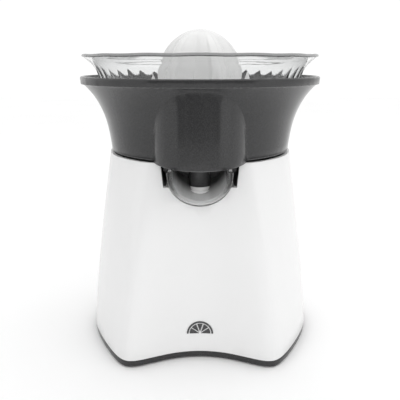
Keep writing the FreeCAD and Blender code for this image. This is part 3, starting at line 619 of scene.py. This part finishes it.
def make_bowl(materials):
    """The fluted wall and the rolled rim of the strainer bowl."""
    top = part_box("strainer_bowl")[1][2] / MM
    bead = [bowl_ring(radius, top + drop, 0.0, 1.0) for radius, drop in RIM_LINE]
    # The rim's grey tint is painted shade.
    add_piece("bowl_rim", *rings(bead, True), materials["rim_shaded_plastic"], "strainer_bowl",
              "clear_plastic")
    outer = smooth_line(BOWL_WALL_LINE, BOWL_LINE_STEPS)
    rows = []
    for radius, height in outer:
        rows.append(bowl_ring(radius, height, 0.0, rise_over(height, BEND_START, BEND_RUN)))
    for radius, height in reversed(offset_line(outer, BOWL_WALL)):
        depth = ease((FLUTE_TOP - height) / FLUTE_FADE)
        depth *= rise_over(height, FLUTE_FOOT, FLUTE_FOOT_RUN)
        rows.append(bowl_ring(radius, height, depth, rise_over(height, BEND_START, BEND_RUN)))
    wall = add_piece("bowl_wall", *rings(rows, True), materials["clear_plastic"],
                     "strainer_bowl", "clear_plastic", "strainer_bowl")
    wall.visible_shadow = False


def make_bowl_floor(materials):
    """The slotted floor: a flat sheet of cells with the slots left out, thickened."""
    per_slot = SECTORS // SLOTS
    verts = [point for radius in FLOOR_RINGS for point in circle(radius, FLOOR_HEIGHT, SECTORS)]
    faces = []
    for i in range(len(FLOOR_RINGS) - 1):
        for k in range(SECTORS):
            long_slot = (k // per_slot) % 2
            in_slot = i == SHORT_SLOT_RING or (i == LONG_SLOT_RING and long_slot)
            if k % per_slot or not in_slot:
                n = (k + 1) % SECTORS
                a, b = i * SECTORS, (i + 1) * SECTORS
                faces.append((a + k, a + n, b + n, b + k))
    sheet = add_piece("bowl_floor", verts, faces, materials["clear_plastic"], "strainer_bowl",
                      "clear_plastic")
    thick = sheet.modifiers.new("thickness", "SOLIDIFY")
    thick.thickness = BOWL_WALL * MM
    thick.offset = 1.0


def make_bowl_hub(materials):
    rows = [circle(radius, height, HUB_STEPS) for radius, height in HUB_LINE]
    hub = add_piece("bowl_hub", *rings(rows, True), materials["clear_plastic"], "strainer_bowl",
                    "clear_plastic")
    hub.data.polygons.foreach_set("use_smooth", [False] * len(hub.data.polygons))


# ---------------------------------------------------------------- cone

CONE_LINE = ((43.0, 192.5), (43.0, 193.9), (42.4, 194.7), (41.2, 195.2), (39.6, 200.0),
             (36.4, 209.8), (33.2, 219.0), (30.4, 225.8), (27.4, 231.2), (23.0, 236.6),
             (17.0, 241.4), (10.5, 244.8), (4.5, 246.4), (0.6, 246.7))
CONE_CORE = ((32.2, 192.5), (27.6, 210.0), (22.6, 226.0), (12.0, 237.0), (0.6, 240.0))
CONE_LINE_STEPS, CONE_CORE_STEPS = 6, 4
CONE_FINS = 6
CONE_STEPS = CONE_FINS * 36
CONE_TURN = math.radians(-68.0)
FIN_SHARE = 0.25
VALLEY_ROUNDNESS = 0.9
VALLEY_DEPTH = 0.20
VALLEY_START, VALLEY_RUN = 195.0, 3.0
CROWN_START, CROWN_RUN = 236.0, 11.0
CROWN_FADE = 0.55


def cone_ring(radius, height, depth):
    """One ring of the cone: flutes with a soft V between narrow rounded fins."""
    ring = []
    for k in range(CONE_STEPS):
        angle = TAU * k / CONE_STEPS
        share = CONE_FINS * angle / TAU % 1.0
        swing = 1 - abs(2 * share - 1)
        hollow = 2 * ease(0.5 * swing) if swing < FIN_SHARE else swing ** VALLEY_ROUNDNESS
        narrowed = radius * (1 - depth * min(1.0, hollow))
        ring.append(round_point(narrowed, angle + CONE_TURN, height))
    return ring


def make_cone(materials):
    """The fluted shell of the large cone with its smooth core, closed at the foot."""
    outside, inside = [], []
    for radius, height in smooth_line(CONE_LINE, CONE_LINE_STEPS):
        depth = VALLEY_DEPTH * rise_over(height, VALLEY_START, VALLEY_RUN)
        depth *= 1 - CROWN_FADE * rise_over(height, CROWN_START, CROWN_RUN)
        outside.append(cone_ring(radius, height, depth))
    for radius, height in smooth_line(CONE_CORE, CONE_CORE_STEPS):
        inside.append(cone_ring(radius, height, 0.0))
    verts, faces = rings(outside, False)
    core_verts, core_faces = rings(inside, False)
    start = len(verts)
    faces.append(tuple(range(start - CONE_STEPS, start)))
    verts += core_verts
    faces += [tuple(start + v for v in face) for face in core_faces]
    faces.append(tuple(range(len(verts) - CONE_STEPS, len(verts))))
    for k in range(CONE_STEPS):
        n = (k + 1) % CONE_STEPS
        faces.append((k, n, start + n, start + k))
    add_piece("reamer_cone", verts, faces, materials["cone_plastic"], "large_cone",
              "cone_plastic", "large_cone")


# ---------------------------------------------------------------- lips of the collector

LIP_RADIUS = 0.42
LIP_SIDES = 8
HOOD_HALF, HOOD_FRONT, HOOD_SHOULDER = 34.5, 88.6, 53.0
HOOD_EDGE = ((60.0, 154.6), (90.0, 152.1))
HOOD_SWEEP = math.radians(74.0)
HOOD_LIP_STEPS = 60
HOOD_LIP_RISE = LIP_RADIUS * 0.3
COLLAR_RADIUS = 70.5
COLLAR_LIP_HEIGHT = 155.2 + LIP_RADIUS * 0.4
COLLAR_LIP_STEPS = 180
COLLAR_START = math.asin((HOOD_HALF - 1.5) / 70.8)
RIM_LIP_RADIUS, RIM_LIP_HEIGHT = 92.3, 206.4
RIM_LIP_STEPS = 240


def bead(name, path, materials, closed):
    """A round bead along a path of points in millimetres, in a paler copy of the grey plastic: a
    painted highlight on the rounded edge.
    """
    rows = []
    count = len(path)
    for i, point in enumerate(path):
        before = path[i - 1] if closed or i else path[0]
        after = path[(i + 1) % count] if closed or i < count - 1 else path[-1]
        along = (Vector(after) - Vector(before)).normalized()
        side = along.cross(UP).normalized()
        rise = side.cross(along)
        ring = []
        for k in range(LIP_SIDES):
            turn = TAU * k / LIP_SIDES
            offset = side * math.cos(turn) + rise * math.sin(turn)
            ring.append(tuple((Vector(point) + offset * LIP_RADIUS) * MM))
        rows.append(ring)
    verts, faces = rings(rows, closed)
    if not closed:
        faces.append(tuple(range(LIP_SIDES)))
        faces.append(tuple(range(len(verts) - LIP_SIDES, len(verts))))
    add_piece(name, verts, faces, materials["lip_highlight_plastic"], "juice_collector", "grey_plastic")


def front_point(radius, turn, height):
    """A point on a circle, turned from the front (-Y) towards +X."""
    return (radius * math.sin(turn), -radius * math.cos(turn), height)


def make_lips(materials):
    """The rounded lips along the rim band, the collar's lower edge and the hood's lower edge."""
    (near_y, near_z), (far_y, far_z) = HOOD_EDGE
    hood = []
    for k in range(HOOD_LIP_STEPS + 1):
        turn = HOOD_SWEEP * (2 * k / HOOD_LIP_STEPS - 1)
        x = (HOOD_HALF - LIP_RADIUS) * math.sin(turn)
        y = HOOD_SHOULDER + (HOOD_FRONT - HOOD_SHOULDER - LIP_RADIUS) * math.cos(turn)
        share = max(0.0, (y - near_y) / (far_y - near_y))
        hood.append((x, -y, near_z + (far_z - near_z) * share + HOOD_LIP_RISE))
    bead("hood_lip", hood, materials, False)
    collar = []
    for k in range(COLLAR_LIP_STEPS + 1):
        turn = COLLAR_START + (TAU - 2 * COLLAR_START) * k / COLLAR_LIP_STEPS
        collar.append(front_point(COLLAR_RADIUS, turn, COLLAR_LIP_HEIGHT))
    bead("collar_lip", collar, materials, False)
    band = [front_point(RIM_LIP_RADIUS, TAU * k / RIM_LIP_STEPS, RIM_LIP_HEIGHT)
            for k in range(RIM_LIP_STEPS)]
    bead("rim_lip", band, materials, True)


# ---------------------------------------------------------------- the whole model


def main():
    make_camera()
    make_studio()
    make_floor()
    make_gap()
    make_flag()
    materials = make_materials()
    paint_nodes(materials)
    soften_edges()
    make_bowl(materials)
    make_bowl_floor(materials)
    make_bowl_hub(materials)
    make_cone(materials)
    make_lips(materials)


main()
